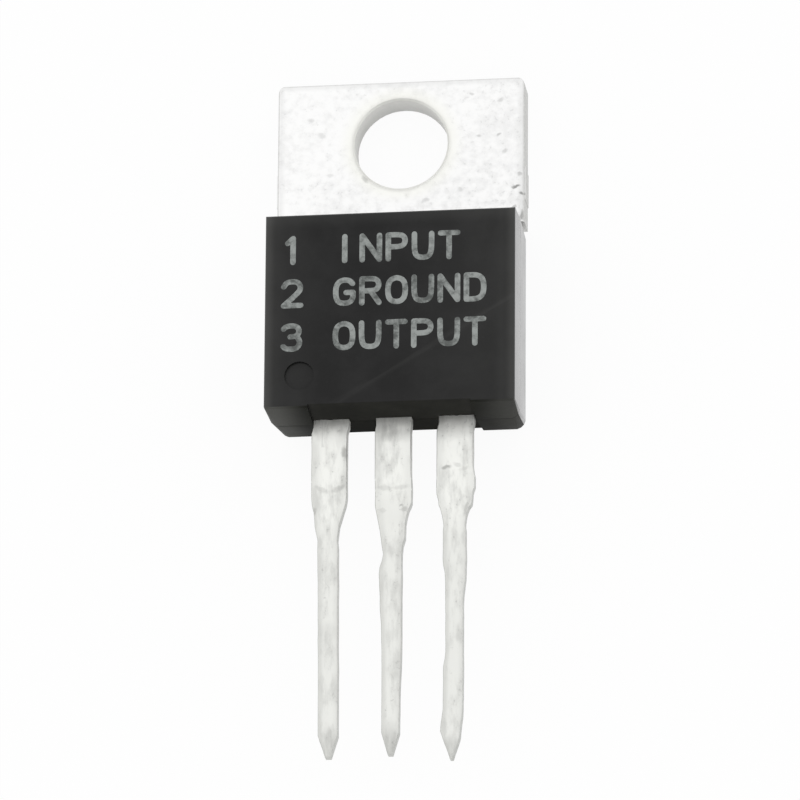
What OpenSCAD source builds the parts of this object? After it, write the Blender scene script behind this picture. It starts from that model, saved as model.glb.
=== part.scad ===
// Three-lead voltage regulator in a flat tab package.
// It lies on the back of its metal tab. The origin is on the axis of the mounting hole, on the
// tab's back face. +Z comes out of the moulded front, +Y points to the free end of the tab,
// and the leads run towards -Y. All sizes are in millimetres.

/* [Tab] */
// Width of the metal tab
tab_w = 10.17; // [9.6:0.01:10.6]
// Thickness of the metal tab
tab_t = 1.27; // [1.1:0.01:1.4]
// Length of tab left bare above the moulding
tab_bare_l = 6.65; // [5.9:0.05:6.8]
// Radius of the two free corners of the tab
tab_corner_r = 0.35; // [0.1:0.05:1]
// Radius of the rolled edge round the tab's front
edge_roll_r = 0.12; // [0.04:0.01:0.25]
// Diameter of the mounting hole
hole_d = 3.84; // [3.6:0.01:4.1]
// Distance from the hole's axis to the free end of the tab
hole_to_end = 2.73; // [2.5:0.01:3.4]
// Depth of the rolled-in edge at the hole's front rim
hole_rim = 0.08; // [0.02:0.01:0.15]
// How far the sheared strip stubs stand out from the tab's sides
stub_out = 0.03; // [0.01:0.01:0.3]
// Length of the sheared strip stubs
stub_l = 1.4; // [0.6:0.1:2]
// Distance from the hole's axis down to the start of the stubs
stub_from_hole = 1.15; // [0.5:0.05:1.5]
// Depth of the notches in the tab's sides where the moulding starts
notch_depth = 0.3; // [0.1:0.05:0.6]
// Length of the notches
notch_l = 0.35; // [0.2:0.05:0.6]

/* [Header under the moulding] */
// How far each side of the header lies in from the side of the tab
header_inset = 0.68; // [0.4:0.02:1]
// Further inset of the header's sides at the back, where the moulding grips round them
header_back_inset = 0.3; // [0.1:0.05:0.6]
// Height of the step that locks the header's sides
side_step_h = 0.6; // [0.4:0.05:0.8]
// Length of the header under the moulding
header_l = 5.8; // [5.4:0.1:6.4]
// Width of the groove that keeps moisture out
groove_w = 0.5; // [0.2:0.05:0.8]
// Depth of the groove
groove_depth = 0.2; // [0.1:0.05:0.4]
// Distance from the start of the moulding to the middle of the groove
groove_from_edge = 0.9; // [0.6:0.05:1.2]

/* [Moulding] */
// How far the moulding's parting line stands out past each side of the tab
body_proud = 0; // [0:0.01:0.15]
// Length of the moulding at its parting line
body_l = 8.55; // [8.4:0.05:9.4]
// Height of the moulding's front face above the tab's back
body_h = 4.46; // [4.3:0.01:4.8]
// Slope of the end face over the tab, in degrees
upper_draft = 3; // [2:0.5:12]
// Slope of the lead end in front of the parting line, in degrees
lower_front_draft = 5; // [1:0.5:10]
// Slope of the lead end behind the parting line, in degrees
lower_back_draft = 9; // [1:0.5:12]
// Slope of the two sides in front of the parting line, in degrees
side_front_draft = 0.25; // [0:0.25:3]
// Slope of the two sides behind the parting line, in degrees
side_back_draft = 1.75; // [0:0.25:3]
// Radius of the edges round the front face
front_edge_r = 0.14; // [0.05:0.01:0.3]
// Radius of the upright corners at the lead end, behind the parting line
corner_r = 0.42; // [0.15:0.01:0.6]
// Radius of the same corners at the front face
corner_front_r = 0.12; // [0.05:0.01:0.3]
// Diameter of the round index recess beside lead one
index_d = 1.2; // [0.8:0.05:1.8]
// Depth of the index recess
index_depth = 0.12; // [0.05:0.01:0.25]
// Distance from the recess's axis to the moulding's side
index_from_side = 1.45; // [1:0.05:2.5]
// Distance from the recess's axis to the lead end
index_from_end = 1.5; // [1.2:0.05:2.5]
// Depth of the shallow relief in the end face round the leads
relief_depth = 0.12; // [0.05:0.01:0.25]
// How far the relief reaches past the outer leads
relief_margin = 0.03; // [0.02:0.01:0.4]

/* [Leads] */
// Distance between neighbouring leads
pitch = 2.54; // [2.4:0.01:2.7]
// Thickness of the lead strip
lead_t = 0.45; // [0.36:0.01:0.6]
// Height of the leads' back face above the tab's back
lead_h = 2.38; // [2.2:0.01:2.6]
// Width of the leads next to the moulding
wide_w = 1.45; // [1.2:0.01:1.7]
// Length of the wide stretch outside the moulding
wide_l = 3.6; // [3:0.05:4]
// How far the stubs of the sheared dam bar stand out from the leads
dam_stub_out = 0.03; // [0.02:0.01:0.15]
// Length of the stubs of the dam bar
dam_stub_l = 0.6; // [0.4:0.05:1]
// Distance from the end of the wide stretch back to the stubs
dam_stub_from_shoulder = 0.6; // [0.1:0.05:0.9]
// Width of the leads below the shoulders
neck_w = 0.86; // [0.8:0.01:1]
// Width of the thin stretch of the leads
thin_w = 0.76; // [0.6:0.01:0.79]
// Distance from the moulding to where the leads reach their thin width
thin_from_body = 7.4; // [6:0.1:9]
// Length of the shoulder on the input lead
input_shoulder_l = 1.35; // [0.6:0.05:2.2]
// Length of the shoulder on the centre lead
centre_shoulder_l = 2.0; // [0.6:0.05:2.2]
// Length of the shoulder on the output lead
output_shoulder_l = 0.9; // [0.6:0.05:2.2]
// Length of the input lead outside the moulding
input_lead_l = 14.0; // [12.7:0.05:14.7]
// Length of the centre lead outside the moulding
centre_lead_l = 13.95; // [12.7:0.05:14.7]
// Length of the output lead outside the moulding
output_lead_l = 14.2; // [12.7:0.05:14.7]
// Length of the pointed tips
tip_l = 0.9; // [0.4:0.05:1.5]
// Width of the blunt end of the tips
tip_w = 0.22; // [0.1:0.01:0.4]

/* [Lead frame inside the moulding] */
// Width of the posts that the wires are bonded to
post_w = 2.3; // [1.8:0.05:2.9]
// Length of the posts
post_l = 1.4; // [1:0.05:1.5]
// Distance from the lead end of the moulding to the posts
post_from_end = 0.85; // [0.6:0.05:1]
// Diameter of the locking hole in each post's root
lock_hole_d = 0.6; // [0.3:0.05:0.8]
// Width of the neck that joins the centre lead to the header
centre_neck_w = 1.8; // [1.2:0.05:2]
// Length of the flat stretch between the header and the neck's slope
neck_foot_l = 0.45; // [0.35:0.05:0.6]
// Length of the neck's slope
neck_slope_l = 0.95; // [0.7:0.05:1.2]
// Radius of the neck's inner bends
bend_r = 0.2; // [0.1:0.05:0.3]

/* [Die and wires] */
// Width of the silicon die
die_w = 2.8; // [2:0.1:4]
// Length of the silicon die
die_l = 2.4; // [2:0.1:3]
// Thickness of the silicon die
die_t = 0.28; // [0.2:0.01:0.4]
// Distance from the start of the moulding to the middle of the die
die_from_edge = 3; // [2.9:0.05:3.6]
// Thickness of the solder under the die
solder_t = 0.05; // [0.03:0.01:0.1]
// How far the solder runs out past the die's edges
solder_margin = 0.2; // [0.05:0.05:0.4]
// Diameter of the bonding wires
wire_d = 0.2; // [0.1:0.01:0.25]
// Radius of the loops to the posts
post_loop_r = 2.6; // [2.4:0.05:3.2]
// Radius of the loop to the header
header_loop_r = 1; // [0.95:0.05:1.5]
// Distance from the bonds on the die to the die's lower edge
bond_inset = 0.45; // [0.3:0.05:0.8]
// Distance between the input and output bonds on the die
bond_spread = 1.7; // [1:0.1:1.9]
// Length of the flattened foot at each bond
foot_l = 0.4; // [0.3:0.05:0.5]
// Width of the flattened foot
foot_w = 0.28; // [0.26:0.01:0.35]
// Thickness of the flattened foot
foot_t = 0.09; // [0.05:0.01:0.12]

/* [Hidden] */
$fn = 64;
// Number of straight steps in a rounded corner of an outline
corner_steps = 6;
// Directions of the flat strips that round an upright corner of the moulding, in degrees
corner_turns = [22.5, 45, 67.5];
// Overlap that joins or cuts cleanly, and the reach of cutting blocks past the part
join = 0.05;
reach = 20;
// Degrees by which a wire's arc runs past its two ends before it is trimmed flat
loop_overrun = 1.5;
// Widths that follow from the tab's
body_w = tab_w + 2 * body_proud;
header_w = tab_w - 2 * header_inset;
header_back_w = header_w - 2 * header_back_inset;
// Heights along Z
lead_top_z = lead_h + lead_t;
parting_z = lead_h + lead_t / 2;
die_z = tab_t + solder_t;
die_top_z = die_z + die_t;
// Places along Y
tab_end_y = hole_to_end;
body_top_y = hole_to_end - tab_bare_l;
body_end_y = body_top_y - body_l;
header_end_y = body_top_y - header_l;
die_y = body_top_y - die_from_edge;
bond_y = die_y - die_l / 2 + bond_inset;
post_y = body_end_y + post_from_end + post_l / 2;
front_end_y = body_end_y + (body_h - parting_z) * tan(lower_front_draft);
back_end_y = body_end_y + parting_z * tan(lower_back_draft);
// Half the moulding's width at its front face and at its back
front_half = body_w / 2 - (body_h - parting_z) * tan(side_front_draft);
back_half = body_w / 2 - parting_z * tan(side_back_draft);
header_bond_y = (die_y - die_l / 2 - solder_margin + header_end_y) / 2;

// Vector of length one along v
function unit(v) = v / norm(v);

// Points of an arc of radius r that rounds corner b between its neighbours a and c
function corner_arc(a, b, c, r) =
    let (u = unit(a - b), v = unit(c - b), half = acos(u * v) / 2,
         centre = b + unit(u + v) * r / sin(half),
         p = b + u * r / tan(half) - centre, q = b + v * r / tan(half) - centre,
         start = atan2(p.y, p.x), turn = (atan2(q.y, q.x) - start + 540) % 360 - 180)
    [for (i = [0:corner_steps]) let (w = start + turn * i / corner_steps) centre + r * [cos(w), sin(w)]];

// Outline whose corners are rounded by the radii given one by one, with 0 for a sharp corner
function rounded(points, radii) =
    let (n = len(points))
    [for (i = [0:n - 1]) each radii[i] == 0 ? [points[i]]
        : corner_arc(points[(i + n - 1) % n], points[i], points[(i + 1) % n], radii[i])];

// Outline made of a right half, given from top to bottom, and its mirror image
function both_halves(right) = concat(right, [for (i = [len(right) - 1:-1:0]) [-right[i].x, right[i].y]]);

// Solid of a side profile, given as [y, z] points, centred on x and as wide as w
module across(points, w) {
    translate([-w / 2, 0, 0])
        rotate([90, 0, 90])
            linear_extrude(w) polygon(points);
}

// Solid of an end profile, given as [x, z] points, that runs from top_y down by length l
module along(points, top_y, l) {
    translate([0, top_y, 0])
        rotate([90, 0, 0])
            linear_extrude(l) polygon(points);
}

// Lead seen from the front. Its head is the right half of the stretch inside the moulding,
// from top to bottom, and below it come the wide stretch, the shoulder and the pointed tip.
module lead_outline(head, shoulder_l, length) {
    tip_y = body_end_y - length;
    stub_y = body_end_y - wide_l + dam_stub_from_shoulder;
    polygon(both_halves(concat(head, [
        [wide_w / 2, stub_y + dam_stub_l],
        [wide_w / 2 + dam_stub_out, stub_y + dam_stub_l - dam_stub_out],
        [wide_w / 2 + dam_stub_out, stub_y + dam_stub_out],
        [wide_w / 2, stub_y],
        [wide_w / 2, body_end_y - wide_l],
        [neck_w / 2, body_end_y - wide_l - shoulder_l],
        [thin_w / 2, body_end_y - thin_from_body],
        [thin_w / 2, tip_y + tip_l],
        [tip_w / 2, tip_y]])));
}

// Outer lead with its bonding post and locking hole, centred on x = 0
module outer_lead(shoulder_l, length) {
    post_end_y = post_y - post_l / 2;
    head = [[post_w / 2, post_y + post_l / 2], [post_w / 2, post_end_y], [wide_w / 2, post_end_y]];
    color("gainsboro") translate([0, 0, lead_h])
        difference() {
            linear_extrude(lead_t) lead_outline(head, shoulder_l, length);
            translate([0, post_end_y - post_from_end / 2, -join])
                cylinder(d = lock_hole_d, h = lead_t + 2 * join);
        }
}

module input_lead() {
    translate([-pitch, 0, 0]) outer_lead(input_shoulder_l, input_lead_l);
}

module output_lead() {
    translate([pitch, 0, 0]) outer_lead(output_shoulder_l, output_lead_l);
}

// Bare tab with rounded free corners and rolled front edges, without its stubs and notches
module bare_plate() {
    half = tab_w / 2;
    low_y = body_top_y - join;
    intersection() {
        linear_extrude(tab_t)
            polygon(rounded([[half, tab_end_y], [half, low_y], [-half, low_y], [-half, tab_end_y]],
                            [tab_corner_r, 0, 0, tab_corner_r]));
        across(rounded([[tab_end_y, 0], [tab_end_y, tab_t], [low_y, tab_t], [low_y, 0]],
                       [0, edge_roll_r, 0, 0]), tab_w);
        along(rounded([[half, 0], [half, tab_t], [-half, tab_t], [-half, 0]],
                      [0, edge_roll_r, edge_roll_r, 0]), tab_end_y, tab_bare_l + join);
    }
}

// Bare tab with the sheared stubs on its sides and a notch on each side just above the moulding
module bare_tab() {
    difference() {
        union() {
            bare_plate();
            translate([-tab_w / 2 - stub_out, -stub_from_hole - stub_l, 0])
                cube([tab_w + 2 * stub_out, stub_l, tab_t - edge_roll_r]);
        }
        for (side = [-1, 1])
            translate([side * tab_w / 2 - notch_depth, body_top_y - 2 * join, -join])
                cube([2 * notch_depth, notch_l + 2 * join, tab_t + 2 * join]);
    }
}

// Flat header below the bare tab, narrower at the back so that the moulding locks round it
module header_plate() {
    for (level = [[header_back_w, 0, side_step_h], [header_w, side_step_h, tab_t - side_step_h]])
        translate([-level[0] / 2, header_end_y, level[1]])
            cube([level[0], header_l, level[2]]);
}

// Neck that rises from the header to the plane of the leads with two bends
module centre_neck() {
    foot_y = header_end_y - neck_foot_l;
    head_y = foot_y - neck_slope_l;
    end_y = body_end_y + post_from_end;
    shift = lead_t * tan(atan2(lead_top_z - tab_t, neck_slope_l) / 2);
    across(rounded([
        [header_end_y + join, tab_t],
        [foot_y, tab_t],
        [head_y, lead_top_z],
        [end_y, lead_top_z],
        [end_y, lead_h],
        [head_y - shift, lead_h],
        [foot_y - shift, tab_t - lead_t],
        [header_end_y + join, tab_t - lead_t]],
        [0, bend_r, bend_r + lead_t, 0, 0, bend_r, bend_r + lead_t, 0]), centre_neck_w);
}

// V-shaped groove across the header's front, just inside the moulding
module moisture_groove() {
    mid_y = body_top_y - groove_from_edge;
    slope = groove_w / 2 / groove_depth;
    across([[mid_y - groove_w / 2 - join * slope, tab_t + join],
            [mid_y, tab_t - groove_depth],
            [mid_y + groove_w / 2 + join * slope, tab_t + join]], tab_w);
}

// Mounting hole with the rim rolled in by the punch at the front
module mounting_hole() {
    translate([0, 0, -join])
        cylinder(d = hole_d, h = tab_t + 2 * join);
    translate([0, 0, tab_t - hole_rim])
        cylinder(d1 = hole_d, d2 = hole_d + 2 * (hole_rim + join), h = hole_rim + join);
}

module tab_with_centre_lead() {
    color("silver") difference() {
        union() {
            bare_tab();
            header_plate();
            centre_neck();
            translate([0, 0, lead_h]) linear_extrude(lead_t)
                lead_outline([[wide_w / 2, body_end_y + post_from_end + join]],
                             centre_shoulder_l, centre_lead_l);
        }
        mounting_hole();
        moisture_groove();
    }
}

module regulator_die() {
    color("dimgray") translate([-die_w / 2, die_y - die_l / 2, die_z])
        cube([die_w, die_l, die_t]);
}

module die_solder() {
    color("lightgray")
        translate([-die_w / 2 - solder_margin, die_y - die_l / 2 - solder_margin, tab_t])
            cube([die_w + 2 * solder_margin, die_l + 2 * solder_margin, solder_t]);
}

// Bonded wire that loops from point a to point b as an arc of radius r, with a flat foot at each end
module bonded_wire(a, b, r) {
    run = norm([b.x - a.x, b.y - a.y]);
    rise = b.z - a.z;
    chord = norm([run, rise]);
    drop = sqrt(r * r - chord * chord / 4);
    centre = [run / 2 + drop * rise / chord, rise / 2 - drop * run / chord];
    start = atan2(rise - centre.y, run - centre.x) - loop_overrun;
    sweep = atan2(-centre.y, -centre.x) + loop_overrun - start;
    color("gainsboro") translate(a) rotate([0, 0, atan2(b.y - a.y, b.x - a.x)]) {
        difference() {
            translate([centre.x, 0, centre.y]) rotate([90, 0, 0]) rotate([0, 0, start])
                rotate_extrude(angle = sweep) translate([r, 0]) circle(d = wire_d, $fn = 32);
            translate([-reach / 2, -wire_d, -reach]) cube([reach / 2 + run / 3, 2 * wire_d, reach]);
            translate([run / 3, -wire_d, rise - reach]) cube([reach, 2 * wire_d, reach]);
        }
        for (end = [[0, 0], [run, rise]])
            translate([end[0] - foot_l / 2, -foot_w / 2, end[1]])
                cube([foot_l, foot_w, foot_t]);
    }
}

module input_wire() {
    bonded_wire([-bond_spread / 2, bond_y, die_top_z], [-pitch, post_y, lead_top_z], post_loop_r);
}

module output_wire() {
    bonded_wire([bond_spread / 2, bond_y, die_top_z], [pitch, post_y, lead_top_z], post_loop_r);
}

module ground_wire() {
    bonded_wire([0, bond_y, die_top_z], [0, header_bond_y, tab_t], header_loop_r);
}

// Drafted block of the moulding, before the metal is taken out of it
module moulded_block() {
    front_top_y = body_top_y - (body_h - tab_t) * tan(upper_draft);
    intersection() {
        across(rounded([
            [body_top_y, 0],
            [body_top_y, tab_t],
            [front_top_y, body_h],
            [front_end_y, body_h],
            [body_end_y, parting_z],
            [back_end_y, 0]], [0, 0, front_edge_r, front_edge_r, 0, 0]), body_w + 2 * join);
        along(rounded([
            [back_half, 0],
            [body_w / 2, parting_z],
            [front_half, body_h],
            [-front_half, body_h],
            [-body_w / 2, parting_z],
            [-back_half, 0]], [0, 0, front_edge_r, front_edge_r, 0, 0]),
            body_top_y + join, body_l + 2 * join);
    }
}

// Reach of an upright corner, given as [half width, y, radius], in the direction turn degrees from x
function corner_reach(corner, turn) =
    corner[0] * cos(turn) - corner[1] * sin(turn) - corner[2] * (cos(turn) + sin(turn) - 1);

// Block that trims a corner flat in one direction, from the low corner at low_z to the high one
module corner_strip(side, turn, low, low_z, high, high_z) {
    near = corner_reach(low, turn);
    lean = atan((corner_reach(high, turn) - near) / (high_z - low_z));
    rotate([0, 0, side > 0 ? -turn : 180 + turn])
        translate([near, 0, low_z]) rotate([0, lean, 0])
            translate([0, -reach, -reach]) cube([reach, 2 * reach, 2 * reach]);
}

// Everything outside the rounded upright corners at the lead end
module corner_trims() {
    back_corner = [back_half, back_end_y, corner_r];
    parting_corner = [body_w / 2, body_end_y, corner_r];
    front_corner = [front_half, front_end_y, corner_front_r];
    for (side = [-1, 1], turn = corner_turns) {
        corner_strip(side, turn, back_corner, 0, parting_corner, parting_z);
        corner_strip(side, turn, parting_corner, parting_z, front_corner, body_h);
    }
}

// Shallow relief in the end face, from just outside one outer lead to just outside the other
module lead_relief() {
    across([
        [front_end_y + relief_depth, body_h + join],
        [body_end_y + relief_depth, parting_z],
        [back_end_y + relief_depth, -join],
        [body_end_y - join, -join],
        [body_end_y - join, body_h + join]], 2 * pitch + wide_w + 2 * relief_margin);
}

module moulded_body() {
    color("#2b2b2b") difference() {
        moulded_block();
        corner_trims();
        lead_relief();
        translate([-body_w / 2 + index_from_side, body_end_y + index_from_end, body_h - index_depth])
            cylinder(d = index_d, h = index_depth + join);
        tab_with_centre_lead();
        input_lead();
        output_lead();
        die_solder();
        regulator_die();
        input_wire();
        ground_wire();
        output_wire();
    }
}

moulded_body();
tab_with_centre_lead();
input_lead();
output_lead();
regulator_die();
die_solder();
input_wire();
ground_wire();
output_wire();
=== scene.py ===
# %% [markdown]
# # A three-lead voltage regulator, dressed in Blender
#
# The object is a small power part: a black moulded block on a bare metal tab, with three flat
# leads. It lies on the back of its tab, and the camera looks down on it.
# The CAD model gives every size and place. This lesson gives the same solids rounded edges,
# uneven stamped leads, a printed legend and finishes that are made of nodes.

# %% Load the frame
import math
import bpy
import bmesh
from mathutils import Matrix, Vector, noise


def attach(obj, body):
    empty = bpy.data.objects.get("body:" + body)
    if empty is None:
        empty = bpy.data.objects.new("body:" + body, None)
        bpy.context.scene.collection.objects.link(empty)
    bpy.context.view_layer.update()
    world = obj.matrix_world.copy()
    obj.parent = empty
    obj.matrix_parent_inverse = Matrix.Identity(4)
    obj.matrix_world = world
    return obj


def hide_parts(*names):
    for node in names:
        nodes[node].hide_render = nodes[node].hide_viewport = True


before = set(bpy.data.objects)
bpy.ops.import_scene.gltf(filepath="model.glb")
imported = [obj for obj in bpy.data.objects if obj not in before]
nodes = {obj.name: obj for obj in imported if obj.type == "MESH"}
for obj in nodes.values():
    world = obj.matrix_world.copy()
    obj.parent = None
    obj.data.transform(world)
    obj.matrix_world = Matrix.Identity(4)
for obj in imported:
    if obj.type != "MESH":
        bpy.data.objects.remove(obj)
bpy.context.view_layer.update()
MM = 0.001
print("CAD nodes:", ", ".join(sorted(nodes)))

# %% [markdown]
# ## The camera
#
# A long lens far away flattens the view, and that is how the reference view looks: the two ends
# of the part are nearly the same size. The camera's place is written as a tilt and a turn round
# a point in the middle of the part. A matrix built from three axes is used here, because it
# shows where right, up and back point, which Euler angles hide.

# %% Camera
TURN, TILT, ROLL = math.radians(7.138), math.radians(18.901), math.radians(-0.402)
TARGET = Vector((0.1344, -11.3126, 2.0)) * MM
DISTANCE = 330 * MM
FOCAL_PIXELS, FRAME_PIXELS, SENSOR = 8175.43, 800, 36.0
CLIP_NEAR, CLIP_FAR = 10 * MM, 5.0

back = Vector((math.sin(TURN), -math.sin(TILT) * math.cos(TURN), math.cos(TILT) * math.cos(TURN)))
level_right = (-back).cross(Vector((0, 1, 0))).normalized()
level_up = level_right.cross(-back)
right = math.cos(ROLL) * level_right - math.sin(ROLL) * level_up
up = math.sin(ROLL) * level_right + math.cos(ROLL) * level_up
camera = bpy.data.objects.new("camera", bpy.data.cameras.new("camera"))
bpy.context.scene.collection.objects.link(camera)
camera.matrix_world = Matrix.Translation(TARGET + DISTANCE * back) @ Matrix(
    (right, up, back)).transposed().to_4x4()
camera.data.sensor_width = SENSOR
camera.data.lens = FOCAL_PIXELS / FRAME_PIXELS * SENSOR
camera.data.clip_start, camera.data.clip_end = CLIP_NEAR, CLIP_FAR
bpy.context.scene.camera = camera
print("lens", round(camera.data.lens, 1), "mm at", round(DISTANCE / MM), "mm")

# %% [markdown]
# ## Building with nodes
#
# A finish is a small network of nodes. Writing each node and link by hand takes many lines, so
# one helper makes a node, sets its values and plugs in its inputs. An input that is another
# node's output is linked, and any other value is set on the socket.

# %% Node helpers
def new_material(name):
    """An empty node material, with its tree and its Principled shader."""
    material = bpy.data.materials.new(name)
    material.use_nodes = True
    tree = material.node_tree
    return material, tree, tree.nodes["Principled BSDF"]


def add(tree, kind, inputs=None, **settings):
    """A new node. An input is a plain value, or another node's output socket to link."""
    node = tree.nodes.new("ShaderNode" + kind)
    for key, value in settings.items():
        setattr(node, key, value)
    for key, value in (inputs or {}).items():
        if isinstance(value, bpy.types.NodeSocket):
            tree.links.new(value, node.inputs[key])
        else:
            node.inputs[key].default_value = value
    return node


def math_node(tree, operation, a, b=0.5):
    """One sum on numbers, and its output."""
    return add(tree, "Math", {0: a, 1: b}, operation=operation).outputs[0]


print("helpers: new_material, add, math_node")

# %% [markdown]
# ## Steps, sums and blends
#
# Every finish needs the same few sums: a soft step that says where a thing begins, a straight
# ramp, a weighted sum of several patterns and a blend of two colours. A colour ramp node could do
# some of this, but the plain numbers in a call are easier to read than its stops.

# %% Steps, sums and blends
def weighted_sum(tree, *terms):
    """The sum of several outputs, each times its own weight."""
    total = 0.0
    for value, weight in terms:
        total = add(tree, "Math", {0: value, 1: weight, 2: total},
                    operation="MULTIPLY_ADD").outputs[0]
    return total


def fade(tree, value, low, high):
    """0 below low and 1 above high, with a soft step between. High may be the smaller one."""
    step = add(tree, "MapRange", {"Value": value, "From Min": low, "From Max": high},
               interpolation_type="SMOOTHSTEP")
    return step.outputs["Result"]


def ramp(tree, value, low, high, at_low, at_high):
    """A straight ramp from one value to another, and level outside it."""
    return add(tree, "MapRange", {"Value": value, "From Min": low, "From Max": high,
                                  "To Min": at_low, "To Max": at_high}).outputs["Result"]


def blend_colours(tree, factor, a, b):
    """Colour a where the factor is 0, and colour b where it is 1."""
    mix = add(tree, "Mix", {0: factor}, data_type="RGBA")
    for index, value in ((6, a), (7, b)):
        if isinstance(value, bpy.types.NodeSocket):
            tree.links.new(value, mix.inputs[index])
        else:
            mix.inputs[index].default_value = (*value, 1)
    return mix.outputs[2]


def shade(colour, share):
    """A plain colour that is darker or paler by a share."""
    return tuple(min(1.0, share * part) for part in colour)


print("helpers: weighted_sum, fade, ramp, blend_colours, shade")

# %% [markdown]
# ## Patterns in real size
#
# Every pattern here is noise on Object coordinates, which are in metres, so a noise scale of
# 1000 gives spots of about one millimetre. An even noise looks the same in all directions, and
# streaks come from stretching the coordinates first. A height in metres makes a relief of the
# same noise, which costs no faces.

# %% Patterns
def cloud(tree, place, scale, detail=2.0, roughness=0.5):
    """Soft noise between 0 and 1 at a scale per metre."""
    return add(tree, "TexNoise", {"Vector": place, "Scale": scale, "Detail": detail,
                                  "Roughness": roughness}).outputs[0]


def stretched(tree, place, scale, turn=0.0):
    """Coordinates that are first turned about Z and then stretched, for slanting streaks."""
    turned = add(tree, "Mapping", {"Vector": place, "Rotation": (0, 0, turn)}).outputs[0]
    return add(tree, "Mapping", {"Vector": turned, "Scale": scale}).outputs[0]


def bump(tree, height, depth, strength=1.0):
    """A relief of the given depth in metres."""
    return add(tree, "Bump", {"Height": height, "Distance": depth,
                              "Strength": strength}).outputs[0]


print("patterns: cloud, stretched, bump")

# %% [markdown]
# ## Where sheen and shade are painted on the compound
#
# The block is a black epoxy that is filled with ground glass. Its colour carries painted light: a
# paler band on the front's rounded edges is a painted highlight, and on the lead end a painted
# reflection of the floor makes the outer corners paler and fades to painted shade between the
# leads. Painting that by hand would need an image, so a short table says along which axis the
# compound gets paler, and how much. A fine dark line round the block marks where the two halves
# of the mould met.

# %% Painted sheen on the compound
PARTING_Z = 2.605
SEAM_OUTER, SEAM_INNER = 0.08 * MM, 0.02 * MM
# A row is an axis, where the step starts and ends in mm, and how much paler it gets; below 0 it
# gets darker.
# The axis "wide" is the distance from the middle line.
# Front: the two "wide" rows are a painted highlight on the rounded side edges, and the other rows
# make the front paler or darker along X and paler towards the top.
FRONT_SHEEN = (("wide", 4.62, 5.02, 0.1), ("wide", 4.1, 4.85, 0.03), ("x", 0.3, 2.6, 0.016),
              ("x", 2.4, 3.8, 0.01), ("x", 4.5, 4.9, -0.035), ("x", -2.6, -3.8, 0.018),
              ("y", -4.75, -4.2, 0.036))
# Lead end: a painted reflection of the floor, paler towards the outer corners and most at the
# left, that fades to painted shade between the leads. The last row is painted shade on the back
# half.
END_SHEEN = (("wide", 3.2, 5.1, 0.12), ("x", -3.1, -4.8, 0.1), ("z", 2.62, 2.5, -0.025))
# Torn face between the leads: paler in the front half and towards its outer ends, a painted
# gradient of reflection round the painted shade in its middle.
TORN_SHEEN = (("z", 2.5, 2.7, 0.04), ("wide", 2.7, 3.25, 0.02))


def painted_sheen_share(tree, place, table):
    """How much pale painted sheen the compound gets after a table of steps; below 0, painted
    shade.
    """
    x, y, z = add(tree, "SeparateXYZ", {0: place}).outputs
    axes = {"x": x, "y": y, "z": z, "wide": math_node(tree, "ABSOLUTE", x)}
    return weighted_sum(tree, *((fade(tree, axes[axis], first * MM, last * MM), amount)
                                for axis, first, last, amount in table))


def seam_line(tree, place):
    """1 on the line where the two halves of the mould met, and 0 elsewhere."""
    z = add(tree, "SeparateXYZ", {0: place}).outputs[2]
    off = math_node(tree, "ABSOLUTE", math_node(tree, "SUBTRACT", z, PARTING_Z * MM))
    return fade(tree, off, SEAM_OUTER, SEAM_INNER)


print("rubbed places:", len(FRONT_SHEEN + END_SHEEN + TORN_SHEEN))

# %% [markdown]
# ## The long scuff
#
# One faint scratch runs across the front, where the part slid over another. It could be a groove
# in the mesh, but it has no depth that one could feel. So it is a thin slanting band of paler
# compound, and a noise that is stretched along it leaves small gaps.

# %% Scuff
SCUFF_TURN = math.radians(-30.5)
SCUFF_MIDDLE, SCUFF_HALF = -9.37 * MM, 0.22 * MM
SCUFF_STREAKS = (500, 6000, 300)
FRONT_STARTS, FRONT_FULL = 4.2 * MM, 4.4 * MM


def scuff(tree, place):
    """One soft slanting line across the front, with gaps in it."""
    streaks = cloud(tree, stretched(tree, place, SCUFF_STREAKS, SCUFF_TURN), 1)
    turned = stretched(tree, place, (1, 1, 1), SCUFF_TURN)
    y, z = add(tree, "SeparateXYZ", {0: turned}).outputs[1:]
    on_front = fade(tree, z, FRONT_STARTS, FRONT_FULL)
    near = math_node(tree, "ABSOLUTE", math_node(tree, "SUBTRACT", y, SCUFF_MIDDLE))
    line = math_node(tree, "MULTIPLY", fade(tree, near, SCUFF_HALF, 0.0), on_front)
    return math_node(tree, "MULTIPLY", line, fade(tree, streaks, 0.3, 0.55))


print("scuff width", round(2 * SCUFF_HALF / MM, 2), "mm")

# %% [markdown]
# ## The moulding compound
#
# Compound comes out of the mould satin. It looks near black from the front, but its sides mirror
# the bright room at a low angle. The shader's own Fresnel does that, and roughness and gloss
# differ
# between the faces: the front is satin, the sides are smoother, and the lead end is dull, because
# the mould's gate tore it there. On top of that, the painted sheen of the table above makes the
# colour paler in places, as painted highlight and painted reflection.

# %% Moulding finish
# The first colour is the pale painted sheen: a painted highlight and reflection on the block.
PAINTED_SHEEN, PALE_SCUFF, SEAM_BLACK = (0.3, 0.3, 0.285), (0.3, 0.3, 0.29), (0.003, 0.003, 0.002)
PATCH_SCALE, GRAIN_SCALE = 620, 9000
# How bright a dark patch, a pale patch and a pale grain are, as shares of the plain colour.
DARK_PATCH, PALE_PATCH, PALE_GRAIN = 0.8, 1.8, 2.2
SCUFF_SHARE = 0.028
COMPOUND_RELIEF, SEAM_HEIGHT = 0.0035 * MM, 4.0


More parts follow.
